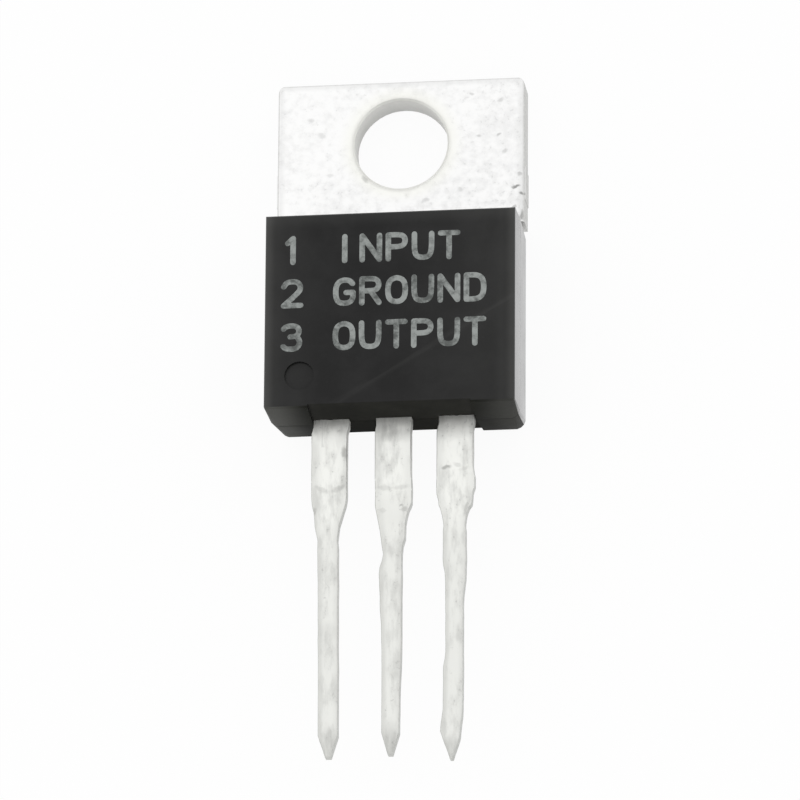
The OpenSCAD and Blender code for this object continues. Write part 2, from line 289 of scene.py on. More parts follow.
def moulding_finish(name, colour, rough, gloss, sheen_steps=(), scuffed=0.0, seam=0.0, polish=0.0):
    """Black compound. Rough is the lowest and highest roughness, and polish lowers the roughness
    where the painted sheen lies.
    """
    material, tree, shader = new_material(name)
    place = add(tree, "TexCoord").outputs["Object"]
    patches = cloud(tree, place, PATCH_SCALE, 5, 0.6)
    grain = cloud(tree, place, GRAIN_SCALE, 3, 0.7)
    base = blend_colours(tree, fade(tree, patches, 0.35, 0.68), shade(colour, DARK_PATCH),
                         shade(colour, PALE_PATCH))
    base = blend_colours(tree, fade(tree, grain, 0.62, 0.75), base, shade(colour, PALE_GRAIN))
    scratch = math_node(tree, "MULTIPLY", scuff(tree, place), SCUFF_SHARE * scuffed)
    base = blend_colours(tree, scratch, base, PALE_SCUFF)
    # Painted light: the table's pale painted sheen, and painted shade where a row is below 0.
    sheen = painted_sheen_share(tree, place, sheen_steps)
    base = blend_colours(tree, sheen, base, PAINTED_SHEEN)
    line = math_node(tree, "MULTIPLY", seam_line(tree, place), seam)
    tree.links.new(blend_colours(tree, line, base, SEAM_BLACK), shader.inputs["Base Color"])
    even = ramp(tree, patches, 0.3, 0.7, *rough)
    tree.links.new(weighted_sum(tree, (even, 1.0), (sheen, -polish)), shader.inputs["Roughness"])
    shader.inputs["Specular IOR Level"].default_value = gloss
    height = weighted_sum(tree, (grain, 1.0), (line, -SEAM_HEIGHT))
    tree.links.new(bump(tree, height, COMPOUND_RELIEF, 0.6), shader.inputs["Normal"])
    return material


print("compound relief", COMPOUND_RELIEF / MM, "mm")

# %% [markdown]
# ## Four faces of the compound
#
# Gloss has to be a plain value on the shader, because a linked one is lost on export. So the
# block's areas can't share one finish with a changing gloss, and each gets a finish of its own.

# %% Compound on the four areas
compound = moulding_finish("moulding_compound", (0.0062, 0.0062, 0.0062), (0.28, 0.38), 0.24,
                           FRONT_SHEEN, scuffed=1.0)
compound_side = moulding_finish("moulding_side", (0.012, 0.012, 0.012), (0.12, 0.18), 0.48,
                                seam=0.5)
compound_end = moulding_finish("moulding_end", (0.0095, 0.0098, 0.0078), (0.66, 0.78), 0.06,
                               END_SHEEN, seam=0.6, polish=0.9)
compound_torn = moulding_finish("moulding_torn", (0.0088, 0.0088, 0.0072), (0.8, 0.95), 0.025,
                                TORN_SHEEN, seam=0.2)
BLOCK_FINISHES = (compound, compound_side, compound_end, compound_torn)
print("finishes:", ", ".join(material.name for material in BLOCK_FINISHES))

# %% [markdown]
# ## Where dirt and painted shade sit on the metal
#
# The tab and the leads are one copper alloy strip, plated and then dipped in tin. Dirt sits in
# known places: at the cut right side of the tab, on the leads where the dam bar was sheared off,
# and at the tips. Right next to the block, the lead roots get painted shade of the block instead.
# Noise would put it anywhere, so two tables give the places.

# %% Stain tables
# A row is x, y, radius along X and radius along Y in mm, turn in degrees, and strength.
TAB_STAINS = (
    (4.76, -2.05, 0.2, 0.07, 10, 0.75), (5.0, -2.35, 0.14, 0.08, 0, 0.7),
    (4.64, -2.95, 0.14, 0.1, 60, 0.5), (5.0, -3.3, 0.1, 0.25, 0, 0.6),
    (4.9, -1.5, 0.1, 0.1, 0, 0.35), (-1.45, -1.5, 0.2, 0.12, -40, 0.3),
    (1.0, -2.5, 0.2, 0.11, 20, 0.22), (3.22, 0.22, 0.12, 0.09, 0, 0.3),
    (4.04, 0.25, 0.12, 0.08, 30, 0.35), (4.3, -0.48, 0.18, 0.09, 50, 0.3),
    (2.92, 2.06, 0.13, 0.08, 0, 0.28), (4.1, 1.75, 0.16, 0.1, 20, 0.25),
    (-3.72, 1.16, 0.16, 0.12, 10, 0.22), (-3.3, 0.5, 0.2, 0.12, -30, 0.2),
    (-2.9, -1.25, 0.15, 0.1, 0, 0.18), (2.45, -2.1, 0.15, 0.1, 0, 0.2))
# On the leads, the four rows at y -12.8 to -13.1, next to the block, are painted shade of the
# block; the other rows are stains.
LEAD_STAINS_AND_SHADE = (
    (2.14, -14.5, 0.22, 0.1, 14, 0.5), (2.6, -14.42, 0.22, 0.09, -20, 0.2),
    (-1.97, -13.78, 0.17, 0.32, 5, 0.5), (0.0, -13.1, 0.9, 0.32, 0, 0.18),
    (2.4, -12.98, 0.9, 0.4, 0, 0.18), (0.0, -16.2, 0.7, 1.0, 0, 0.08),
    (-2.6, -21.25, 0.5, 0.45, 0, 0.09), (-2.87, -15.3, 0.34, 0.14, -25, 0.22),
    (-2.25, -15.28, 0.36, 0.14, 25, 0.26), (-0.36, -15.3, 0.36, 0.15, -8, 0.2),
    (0.3, -15.28, 0.36, 0.14, 10, 0.2), (0.44, -16.2, 0.2, 0.13, 20, 0.32),
    (-0.4, -16.25, 0.18, 0.14, 0, 0.2), (-0.45, -12.8, 0.5, 0.25, 0, 0.2),
    (2.1, -12.95, 0.3, 0.3, 30, 0.22), (-3.2, -16.2, 0.1, 0.2, 0, 0.3),
    (2.9, -13.7, 0.1, 0.4, 0, 0.15), (2.95, -16.3, 0.08, 0.35, -15, 0.25),
    (-2.95, -17.5, 0.1, 0.3, 0, 0.12), (2.85, -14.6, 0.25, 0.1, 10, 0.14),
    (-2.5, -26.05, 0.4, 0.85, 0, 0.24), (-0.05, -25.95, 0.4, 0.95, 0, 0.22),
    (2.35, -26.3, 0.4, 0.65, 0, 0.24))
print("stains:", len(TAB_STAINS), "on the tab,", len(LEAD_STAINS_AND_SHADE), "on the leads")

# %% [markdown]
# ## Ragged stains and patches of painted shade
#
# A spot, which is a stain or a patch of painted shade, is a distance from its place, measured in
# an oval that has its own size and turn. With that alone it would be a clean oval, so a fine
# noise first pushes the coordinates about, and that tears its edge. The strongest spot wins where
# two meet.

# %% Ragged stains and shade
STAIN_RAG_SCALE, STAIN_WANDER = 5000, 0.2 * MM
STAIN_OUTER, STAIN_INNER = 1.25, 0.35


def stains_and_shade(tree, place, table):
    """Ragged spots after a table: stains, and patches of painted shade where a table holds them.
    """
    ragged = add(tree, "TexNoise", {"Vector": place, "Scale": STAIN_RAG_SCALE, "Detail": 3})
    offset = add(tree, "VectorMath", {0: ragged.outputs["Color"], 1: (0.5, 0.5, 0.5)},
                 operation="SUBTRACT").outputs[0]
    moved = add(tree, "VectorMath", {0: offset, 1: (STAIN_WANDER, STAIN_WANDER, 0), 2: place},
                operation="MULTIPLY_ADD").outputs[0]
    total = 0.0
    for x, y, radius_x, radius_y, turn, strength in table:
        spot = add(tree, "Mapping", {"Vector": moved, "Location": (x * MM, y * MM, 0),
                                     "Rotation": (0, 0, math.radians(turn)),
                                     "Scale": (radius_x * MM, radius_y * MM, 1)},
                   vector_type="TEXTURE")
        far = add(tree, "VectorMath", {0: spot.outputs[0]}, operation="LENGTH").outputs["Value"]
        mark = math_node(tree, "MULTIPLY", fade(tree, far, STAIN_OUTER, STAIN_INNER), strength)
        total = math_node(tree, "MAXIMUM", mark, total)
    return total


print("a stain's edge wanders by up to", STAIN_WANDER / MM / 2, "mm")

# %% [markdown]
# ## Painted shade along the borders
#
# The borders are painted darker, as the shade of their rounded edges, and on a lead the left
# border, whose rounding turns away from the camera, gets more of it. On the tab its place says
# where the border is. A lead is uneven, so its place would not fit, and an attribute that its
# mesh carries says how far across a point is.

# %% Borders
# Where the painted shade of the tab's rounded borders starts and where it is full.
TAB_SIDE_SHADE_STARTS, TAB_SIDE_SHADE_FULL = 4.72 * MM, 4.96 * MM
TAB_END_SHADE_STARTS, TAB_END_SHADE_FULL = 2.4 * MM, 2.62 * MM
# How much painted shade a lead's left and right border get; the left rounding turns away.
LEFT_EDGE_SHADE, RIGHT_EDGE_SHADE = 1.9, 0.8


def tab_border_shade(tree):
    """1 along the tab's sides and its free end, where the painted edge shade goes."""
    place = add(tree, "TexCoord").outputs["Object"]
    x, y = add(tree, "SeparateXYZ", {0: place}).outputs[:2]
    side = fade(tree, math_node(tree, "ABSOLUTE", x), TAB_SIDE_SHADE_STARTS, TAB_SIDE_SHADE_FULL)
    return math_node(tree, "MAXIMUM", side, fade(tree, y, TAB_END_SHADE_STARTS, TAB_END_SHADE_FULL))


def lead_border_shade(tree):
    """The same for a lead. Its mesh says how far across a point is: -1 is left, 1 is right."""
    across = add(tree, "Attribute", attribute_name="across").outputs["Fac"]
    left = math_node(tree, "MULTIPLY", fade(tree, across, -0.3, -0.95), LEFT_EDGE_SHADE)
    rightward = math_node(tree, "MULTIPLY", fade(tree, across, 0.35, 0.95), RIGHT_EDGE_SHADE)
    return math_node(tree, "MAXIMUM", left, rightward)


print("thinness of the lead borders:", LEFT_EDGE_SHADE, RIGHT_EDGE_SHADE)

# %% [markdown]
# ## The dull cloud on the tin
#
# Hot tin freezes in a thin uneven skin, so it is mottled, with small dark pits. Two noises of
# different size make the mottling, a third makes the pits, and on the leads the middle one is
# drawn out lengthwise, as the metal was. Colour, roughness and relief all follow the same
# noises, so that a dull patch is also the one that is rough.

# %% Mottling
BROAD_SCALE, SMUDGE_SCALE, FINE_SCALE = 520, 3400, 7500
RIGHT_STARTS, RIGHT_FULL = 1.5 * MM, 5 * MM
RIGHT_DULLER, RIGHT_SPECKLED = 0.05, 0.035


def mottling(tree, place, x, lengthwise, right_heavy):
    """The cloud itself, its dull patches, its dark specks and the finest noise."""
    broad = cloud(tree, place, BROAD_SCALE, 3, 0.55)
    drawn_out = (SMUDGE_SCALE, SMUDGE_SCALE * lengthwise, SMUDGE_SCALE)
    smudge = cloud(tree, stretched(tree, place, drawn_out), 1, 4, 0.62)
    fine = cloud(tree, place, FINE_SCALE, 4, 0.7)
    right_side = math_node(tree, "MULTIPLY", fade(tree, x, RIGHT_STARTS, RIGHT_FULL),
                           right_heavy)
    level = weighted_sum(tree, (broad, 0.35), (smudge, 0.65))
    dull = fade(tree, weighted_sum(tree, (level, 1.0), (right_side, RIGHT_DULLER)), 0.44, 0.66)
    speckled = weighted_sum(tree, (fine, 0.6), (smudge, 0.4), (right_side, RIGHT_SPECKLED))
    return level, dull, fade(tree, speckled, 0.58, 0.66), fine


print("mottling: 3 noises")

# %% [markdown]
# ## The colour of a tinned face
#
# The colour is built up in layers: the clean tin, its dull patches and specks, painted shade
# along the borders for their rounded edges, a pale halo round the hole where the punch pressed
# the metal, and the dirt on top, which next to the block is painted shade of the block. Each
# layer is one blend, so that it can be changed or left out by itself. The far end of a lead is a
# little duller, since it was dipped first.

# %% Face colour
# The first colour is that of the stains and of the painted shade next to the block.
DIRT_AND_SHADE_COLOUR, PALE_HALO = (0.14, 0.14, 0.13), (0.9, 0.9, 0.82)
# The last share is how dark the tired tin and the painted edge shade get.
DULL_SHARE, SPECK_SHARE, TIRED_AND_EDGE_SHADE_SHARE = 0.72, 0.55, 0.7
BORDER_STRENGTH, HALO_STRENGTH = 0.3, 0.5
HALO_OUTER, HALO_INNER = 2.7 * MM, 1.95 * MM
TIRED_STARTS, TIRED_FULL = -15.6 * MM, -18 * MM


def face_colour(tree, place, from_hole, normal_z, dull, specks, look):
    """The colour of the flat faces, with mottling, painted border shade, a pale halo, and dirt
    with some painted shade.
    """
    y = add(tree, "SeparateXYZ", {0: place}).outputs[1]
    colour, contrast = look["colour"], look["contrast"]
    face = blend_colours(tree, math_node(tree, "MULTIPLY", dull, contrast), colour,
                         shade(colour, DULL_SHARE))
    face = blend_colours(tree, math_node(tree, "MULTIPLY", specks, contrast), face,
                         shade(colour, SPECK_SHARE))
    # The tired far end of a lead, and the painted shade of the rounded borders.
    tired_tin_and_edge_shade = weighted_sum(tree, (fade(tree, y, TIRED_STARTS, TIRED_FULL), look["tired"]),
                            (look["border"](tree), BORDER_STRENGTH))
    face = blend_colours(tree, tired_tin_and_edge_shade, face, shade(colour, TIRED_AND_EDGE_SHADE_SHARE))
    halo = math_node(tree, "MULTIPLY", fade(tree, from_hole, HALO_OUTER, HALO_INNER),
                     look["halo"] * HALO_STRENGTH)
    face = blend_colours(tree, halo, face, PALE_HALO)
    # Stains, and painted shade of the block on the lead roots, kept off the back.
    not_back = fade(tree, normal_z, -0.6, -0.2)
    dirt_and_shade = math_node(tree, "MULTIPLY", stains_and_shade(tree, place, look["marks"]), not_back)
    return blend_colours(tree, dirt_and_shade, face, DIRT_AND_SHADE_COLOUR)


print("dirt colour", DIRT_AND_SHADE_COLOUR)

# %% [markdown]
# ## The tinned metal
#
# Tin is a pale, slightly warm white metal. The flat faces are smooth, and the cut sides are
# duller, because the shears tear them. The face's direction tells the two apart: a cut side has a
# normal with little Z in it, and the rounded edges, whose normal tilts a little, get part of the
# cut side's darker colour as painted shade. The wall of the hole would mirror the black block as
# a hard dark ring. A punched wall is too torn for that, so there the metal share drops and a grey
# takes over that gets darker with depth, as painted shade.

# %% Tinned finish
# The wall's grey goes from the rim colour to a darker one deep in the hole, as painted shade.
WALL_RIM, WALL_DEEP_SHADE, WALL_TOP = (0.86, 0.86, 0.83), (0.66, 0.66, 0.64), 1.3 * MM
WALL_ENDS, FACE_STARTS, WALL_METAL = 2.0 * MM, 2.15 * MM, 0.25
CUT_DARK, CUT_PALE, CUT_ROUGHER = 0.88, 1.06, 0.15
SMOOTHEST, ROUGHEST = 0.28, 0.44
TIN_RELIEF = 0.008 * MM


def tinned_finish(name, **look):
    """Pale dipped metal with mottled faces, duller cut sides, painted shade on the rounded edges
    and a torn wall in the hole that is painted darker with depth.
    """
    material, tree, shader = new_material(name)
    coordinates = add(tree, "TexCoord")
    place = coordinates.outputs["Object"]
    x, y, z = add(tree, "SeparateXYZ", {0: place}).outputs
    normal_z = add(tree, "SeparateXYZ", {0: coordinates.outputs["Normal"]}).outputs[2]
    tilt = math_node(tree, "ABSOLUTE", normal_z)
    flat_place = add(tree, "CombineXYZ", {0: x, 1: y}).outputs[0]
    from_hole = add(tree, "VectorMath", {0: flat_place}, operation="LENGTH").outputs["Value"]
    away = fade(tree, from_hole, WALL_ENDS, FACE_STARTS)
    in_hole = math_node(tree, "SUBTRACT", 1.0, away)
    # Painted shade: the rounded edges, whose normal tilts a little, get part of the darker cut
    # colour, so the cut mask holds the cut sides and this painted edge shade.
    rounded_edge_shade = math_node(tree, "MULTIPLY", fade(tree, tilt, 0.998, 0.8), away)
    cut = math_node(tree, "MAXIMUM", fade(tree, tilt, 0.6, 0.3),
                    math_node(tree, "MULTIPLY", rounded_edge_shade, 0.6))
    level, dull, specks, fine = mottling(tree, place, x, look["lengthwise"], look["halo"])
    face = face_colour(tree, place, from_hole, normal_z, dull, specks, look)
    side = blend_colours(tree, fade(tree, fine, 0.36, 0.64),
                         shade(look["cut_colour"], CUT_DARK), shade(look["cut_colour"], CUT_PALE))
    # Painted shade: the wall's grey darkens with depth.
    wall = blend_colours(tree, fade(tree, z, WALL_TOP, 0), WALL_RIM, WALL_DEEP_SHADE)
    side = blend_colours(tree, math_node(tree, "MULTIPLY", in_hole, 0.8), side, wall)
    tree.links.new(blend_colours(tree, cut, face, side), shader.inputs["Base Color"])
    tree.links.new(ramp(tree, in_hole, 0, 1, 1.0, WALL_METAL), shader.inputs["Metallic"])
    rough = ramp(tree, level, 0.35, 0.65, SMOOTHEST, ROUGHEST)
    tree.links.new(weighted_sum(tree, (rough, 1.0), (cut, CUT_ROUGHER)),
                   shader.inputs["Roughness"])
    relief = weighted_sum(tree, (level, 1.0), (specks, -0.5))
    tree.links.new(bump(tree, relief, TIN_RELIEF, 0.7), shader.inputs["Normal"])
    return material


print("hole wall keeps", WALL_METAL, "of the metal")

# %% [markdown]
# ## Tin on the tab and on the leads
#
# The tab was only plated, and is cleaner and brighter. The leads were also dipped, so they are
# duller and more mottled. One function with other values makes both, which keeps them alike.

# %% Tab and lead tin
tab_tin = tinned_finish("tab_tin", colour=(0.945, 0.945, 0.94), cut_colour=(0.66, 0.66, 0.645),
                        marks=TAB_STAINS, border=tab_border_shade, contrast=0.3, halo=1.0,
                        lengthwise=1.0, tired=0.0)
lead_tin = tinned_finish("lead_tin", colour=(0.885, 0.89, 0.855), cut_colour=(0.62, 0.625, 0.6),
                         marks=LEAD_STAINS_AND_SHADE, border=lead_border_shade, contrast=0.85, halo=0.0,
                         lengthwise=0.3, tired=0.3)
print("finishes:", tab_tin.name, lead_tin.name)

# %% [markdown]
# ## Copying a solid from the CAD model
#
# A CAD node arrives as loose triangles. For a copy that can be rounded, doubled corners are
# merged and triangles that lie in one plane are joined. Then only real edges are left, and an
# edge is picked by the angle between its two faces and by where it lies.

# %% Solid helpers
WELD = 0.0005 * MM
FLAT = math.radians(0.3)
SHARP = math.radians(28)


def solid_copy(node):
    """An editable copy of a CAD solid with merged corners and joined flat areas."""
    bm = bmesh.new()
    bm.from_mesh(nodes[node].data)
    bmesh.ops.remove_doubles(bm, verts=bm.verts, dist=WELD)
    bmesh.ops.dissolve_limit(bm, angle_limit=FLAT, verts=bm.verts, edges=bm.edges)
    return bm


def sharp_edges(bm, where):
    """The edges of real corners whose middle and direction, in millimetres, satisfy where."""
    found = []
    for edge in bm.edges:
        if len(edge.link_faces) == 2 and edge.calc_face_angle(0) > SHARP:
            a, b = (v.co / MM for v in edge.verts)
            if where((a + b) / 2, b - a):
                found.append(edge)
    return found


def round_edges(bm, edges, radius, segments=2):
    """Rounds the edges."""
    bmesh.ops.bevel(bm, geom=edges, offset=radius, offset_type="OFFSET", affect="EDGES",
                    segments=segments, profile=0.5, material=-1, clamp_overlap=True)


print("helpers: solid_copy, sharp_edges, round_edges")

# %% [markdown]
# ## From a mesh to a piece
#
# A piece shades smoothly over its roundings and stays crisp at its real corners, so the corners
# are marked as sharp. Long flat faces beside narrow ones would still shade unevenly, and weighted
# normals mend that. Every piece rides on a body of the CAD model and holds its materials in its
# slots, and the CAD solid that it stands for may be hidden.

# %% Piece helper
def make_piece(bm, name, materials, stands_for):
    """Makes the bmesh a piece of the model, which may replace a CAD node, and rides it."""
    for face in bm.faces:
        face.smooth = True
    for edge in bm.edges:
        edge.smooth = edge.calc_face_angle(0) < SHARP
    mesh = bpy.data.meshes.new(name)
    bm.to_mesh(mesh)
    bm.free()
    piece = bpy.data.objects.new(name, mesh)
    bpy.context.scene.collection.objects.link(piece)
    for material in materials:
        mesh.materials.append(material)
    even = piece.modifiers.new("even_normals", "WEIGHTED_NORMAL")
    even.keep_sharp = True
    if stands_for:
        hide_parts(stands_for)
    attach(piece, "root")
    print(name, len(mesh.polygons), "faces")


print("helper: make_piece")

# %% [markdown]
# ## The moulded block
#
# The block is cast round the metal in a two-part mould, so it tapers both ways from the parting
# line. A mould's corners are never quite sharp. The CAD solid has the large roundings, and here
# the other outer corners get a very small one, which catches a thin line of light. The mouth
# round the metal stays sharp, because there the compound ends on the strip.

# %% Moulded block
BODY_TOP, BODY_END, BODY_HALF = -3.92, -12.47, 5.085
BODY_FRONT, RELIEF_HALF = 4.46, 3.295
CORNER_ZONE, PAST_RELIEF, SIDE_ZONE, END_ZONE = 0.45, 3.4, 0.6, 1.0
NEAR_BACK, NEAR_FRONT = 0.01, 4.3
# How much of a normal points out of the side, and out of the lead end, on a face that lies there.
SIDEWAYS, ENDWAYS = 0.8, 0.5
BLOCK_ROUNDING = 0.05 * MM
FRONT_FACE, SIDE_FACE, END_FACE, TORN_FACE = range(4)


def outer_corner(middle, along):
    """Edges on the outside of the block, away from the metal."""
    low = middle.z < NEAR_BACK
    upright = abs(along.z) > 0.3
    on_side = abs(middle.x) > BODY_HALF - CORNER_ZONE
    on_end = middle.y < BODY_END + CORNER_ZONE and abs(middle.x) > PAST_RELIEF
    on_low_end = low and middle.y < BODY_END + SIDE_ZONE
    return (on_side or on_end or on_low_end) and (upright or low) and middle.z < NEAR_FRONT


def face_of_block(middle, normal):
    """Which of the four finishes a face of the block gets."""
    if abs(normal.x) > SIDEWAYS and abs(middle.x) > BODY_HALF - SIDE_ZONE:
        return SIDE_FACE
    if normal.y < -ENDWAYS and middle.y < BODY_END + END_ZONE:
        return TORN_FACE if abs(middle.x) < RELIEF_HALF else END_FACE
    return FRONT_FACE


block = solid_copy("moulded_body")
round_edges(block, sharp_edges(block, outer_corner), BLOCK_ROUNDING)
for face in block.faces:
    face.material_index = face_of_block(face.calc_center_median() / MM, face.normal)
make_piece(block, "moulding", BLOCK_FINISHES, "moulded_body")

# %% [markdown]
# ## How uneven the leads are
#
# A stamped and dipped lead is never quite straight or even: the shears push its sides about, and
# tin gathers in places. The table says, for places along each lead, how far its two sides have
# moved. Between the places a smooth step is used, so that no corner shows.

# %% Table of the uneven leads
PITCH, LEAD_BACK, LEAD_T = 2.54, 2.38, 0.45
# Each lead has its centre, then rows of place along Y, shift of the left and of the right side.
LEADS = {
    "input": (-PITCH, (
        (-12.7, -0.08, -0.075), (-15.7, -0.07, -0.075), (-16.2, 0.0, -0.17),
        (-16.9, -0.085, -0.21), (-17.4, -0.09, -0.14), (-17.8, -0.1, -0.105),
        (-19.9, -0.1, -0.05), (-21.5, -0.085, -0.04), (-23.0, -0.065, -0.02),
        (-25.4, -0.05, -0.01), (-26.5, -0.02, -0.01))),
    "centre": (0, (
        (-12.7, -0.045, -0.025), (-14.7, -0.04, -0.015), (-15.1, -0.03, 0.02),
        (-15.9, -0.015, 0.02), (-16.3, -0.015, -0.1), (-16.7, 0.02, -0.13),
        (-17.4, 0.03, -0.05), (-17.8, 0.02, -0.1), (-18.2, 0.03, -0.07),
        (-18.5, -0.12, -0.07), (-18.9, -0.16, -0.04), (-19.3, -0.155, -0.03),
        (-20.4, -0.135, -0.025), (-21.2, -0.075, -0.02), (-22.4, -0.05, -0.02),
        (-23.7, -0.045, -0.07), (-25.3, -0.04, -0.085), (-26.4, -0.05, -0.08))),
    "output": (PITCH, (
        (-12.7, -0.08, -0.055), (-14.6, -0.08, -0.05), (-14.85, -0.08, 0.02),
        (-15.3, -0.08, 0.02), (-15.6, -0.07, -0.07), (-15.95, 0.0, -0.085),
        (-16.35, 0.02, -0.2), (-16.8, -0.05, -0.11), (-17.1, -0.1, -0.04),
        (-18.5, -0.13, 0.0), (-19.0, -0.05, 0.0), (-20.1, -0.04, -0.08),
        (-22.4, -0.03, -0.08), (-22.8, -0.11, -0.08), (-24.6, -0.13, -0.08),
        (-25.0, -0.17, -0.1), (-25.4, -0.24, -0.16), (-25.8, -0.14, -0.18),
        (-26.6, -0.1, -0.2))),
}
LEFT_COLUMN, RIGHT_COLUMN = 1, 2


def shift_at(table, y, column):
    """The shift of one side at a place along the lead, eased between the table's rows."""
    if y >= table[0][0]:
        return table[0][column]
    for above, below in zip(table, table[1:]):
        if y >= below[0]:
            t = (above[0] - y) / (above[0] - below[0])
            t = t * t * (3 - 2 * t)
            return above[column] * (1 - t) + below[column] * t
    return table[-1][column]


print("lead tables:", {name: len(rows) for name, (centre, rows) in LEADS.items()})

# %% [markdown]
# ## Bending the mesh after the table
#
# The solid's lead is a few long faces, and those can only stay straight. So it is first cut
# across into short lengths, and lengthwise into strips. Then each point moves sideways by its
# share of the two shifts, and a slow noise lets the flat faces swell a little. A lattice or a
# displace modifier could do the same, but a table in plain code is easier to read and to fit.

# %% Uneven leads
ROOT_Y, CUT_LENGTH = -12.62, 0.3
STRIP_CUTS = (-0.3, -0.1, 0.1, 0.3)
WIDE_HALF, WIDE_ENDS = 0.725, -16.1
SWELL, SIDE_WANDER, GROW_LENGTH = 0.012, 0.012, 1.2
SMALLEST_HALF = 0.05
# How fast the slow noises change, per millimetre, and the row of noise that each side reads.
SWELL_X, SWELL_Y, WANDER_Y = 1.3, 1.1, 2.3
RIGHT_NOISE, LEFT_NOISE = 5.0, 9.0


def cut_in_lengths(bm, centre, last_y):
    """Cuts the part of a lead outside the block across and lengthwise."""
    count = int((ROOT_Y - last_y) / CUT_LENGTH) + 1
    cuts = [(Vector((0, ROOT_Y - CUT_LENGTH * i, 0)) * MM, Vector((0, 1, 0)))
            for i in range(count)]
    cuts += [(Vector((centre + x, 0, 0)) * MM, Vector((1, 0, 0))) for x in STRIP_CUTS]
    for place, direction in cuts:
        faces = [f for f in bm.faces if f.calc_center_median().y < (ROOT_Y + 0.4) * MM]
        parts = {e for f in faces for e in f.edges} | {v for f in faces for v in f.verts}
        bmesh.ops.bisect_plane(bm, geom=faces + list(parts), plane_co=place, plane_no=direction,
                               dist=1e-9)


def make_uneven(bm, centre, table):
    """Moves the sides and faces of a lead after its table, and notes how far across each is."""
    across = bm.verts.layers.float.new("across")
    cut_in_lengths(bm, centre, table[-1][0])
    widths = {}
    for v in bm.verts:
        row = round(v.co.y / MM, 2)
        widths[row] = max(widths.get(row, 0), abs(v.co.x / MM - centre))
    for v in bm.verts:
        x, y, z = v.co / MM
        if y > ROOT_Y - 0.001:
            continue
        half = max(widths[round(y, 2)], SMALLEST_HALF)
        share = (x - centre) / half / 2 + 0.5
        v[across] = 2 * share - 1
        left, rightward = shift_at(table, y, LEFT_COLUMN), shift_at(table, y, RIGHT_COLUMN)
        shift = left * (1 - share) + rightward * share
        grow = min(1, (ROOT_Y - y) / GROW_LENGTH)
        dip = noise.noise(Vector((x * SWELL_X, y * SWELL_Y, centre))) * SWELL * grow
        noise_row = RIGHT_NOISE if share > 0.5 else LEFT_NOISE
        wander = noise.noise(Vector((centre, y * WANDER_Y, noise_row))) * SIDE_WANDER * grow
        trim = min(half, WIDE_HALF) / half if y > WIDE_ENDS else 1.0
        v.co.x = (centre + (x - centre) * trim + shift + wander) * MM
        v.co.z = (z + (dip if z > LEAD_BACK + LEAD_T / 2 else -dip)) * MM


print("a lead is cut every", CUT_LENGTH, "mm")

# %% [markdown]
# ## The tab with its centre lead, and the outer leads
#
# Tab, header and centre lead are stamped from one strip, so they are one piece here too. The
# punch leaves a burr at the back and a soft edge at the front, so every edge that shows gets a
# tiny rounding. Nothing inside the block is touched, since there the strip meets the compound.

# %% Tab and leads
LEAD_ROUNDING, TAB_ROUNDING = 0.06 * MM, 0.03 * MM
TAB_FINISH_ENDS = (BODY_TOP - 1) * MM


def lead_edge(middle, along):
    """Sharp edges of the strip outside the moulding."""
    return middle.y < BODY_END - 0.02 and abs(along.z) < 0.01


def tab_edge(middle, along):
    """Edges round the back of the tab, and the upright edges of the stubs and notches."""
    return middle.y > BODY_TOP + 0.01 and (middle.z < 0.01 or abs(along.z) > 0.2)


def finish_strip(name, lead, node):
    """Rounds the strip's edges, makes its lead uneven and gives it its two finishes."""
    bm = solid_copy(node)
    round_edges(bm, sharp_edges(bm, lead_edge), LEAD_ROUNDING, 3)
    round_edges(bm, sharp_edges(bm, tab_edge), TAB_ROUNDING)
    make_uneven(bm, *LEADS[lead])
    for face in bm.faces:
        face.material_index = int(face.calc_center_median().y < TAB_FINISH_ENDS)
    make_piece(bm, name, (tab_tin, lead_tin), node)


finish_strip("tab_and_centre_lead", "centre", "tab_with_centre_lead")
finish_strip("input_lead_dipped", "input", "input_lead")
finish_strip("output_lead_dipped", "output", "output_lead")

# %% [markdown]
# ## The letters of the legend
#
# The block's front carries a print. This one only says what the three leads are. A font would
# give letters of even weight with square corners, but ink like this is put on by a machine that
# draws each character with one round pen. So a character is a few strokes in a box of one by one.

# %% Letters
BOWL = ((0.66, 1), (0.9, 0.93), (1, 0.75), (0.9, 0.57), (0.66, 0.5))
STEM = ((0, 0), (0, 1))
ROUND = ((0.5, 1), (0.2, 0.95), (0, 0.75), (0, 0.25), (0.2, 0.05), (0.5, 0), (0.8, 0.05),
         (1, 0.25), (1, 0.75), (0.8, 0.95), (0.5, 1))
STROKES = {
    "1": (((0.2, 0.8), (0.52, 1), (0.52, 0)),),
    "2": (((0, 0.78), (0.15, 0.95), (0.5, 1), (0.85, 0.95), (1, 0.76), (0.9, 0.55), (0, 0),
           (1, 0)),),
    "3": (((0.02, 0.86), (0.2, 0.98), (0.75, 0.98), (0.96, 0.78), (0.8, 0.55), (0.4, 0.53)),
          ((0.8, 0.53), (1, 0.3), (0.8, 0.03), (0.2, 0.02), (0, 0.14))),
    "D": (STEM + ((0.6, 1), (0.9, 0.88), (1, 0.65), (1, 0.35), (0.9, 0.12), (0.6, 0), (0, 0)),),
    "G": (((0.97, 0.82), (0.78, 0.97), (0.3, 0.98), (0, 0.75), (0, 0.25), (0.22, 0.02),
           (0.78, 0.02), (1, 0.2), (1, 0.46), (0.6, 0.46)),),
    "I": (((0.5, 1), (0.5, 0)),),
    "N": (STEM + ((1, 0), (1, 1)),),
    "O": (ROUND,),
    "P": (STEM + BOWL + ((0, 0.5),),),
    "R": (STEM + BOWL + ((0, 0.5),), ((0.5, 0.5), (1, 0))),
    "T": (((0, 1), (1, 1)), ((0.5, 1), (0.5, 0))),
    "U": (((0, 1), (0, 0.24), (0.22, 0.02), (0.78, 0.02), (1, 0.24), (1, 1)),),
}
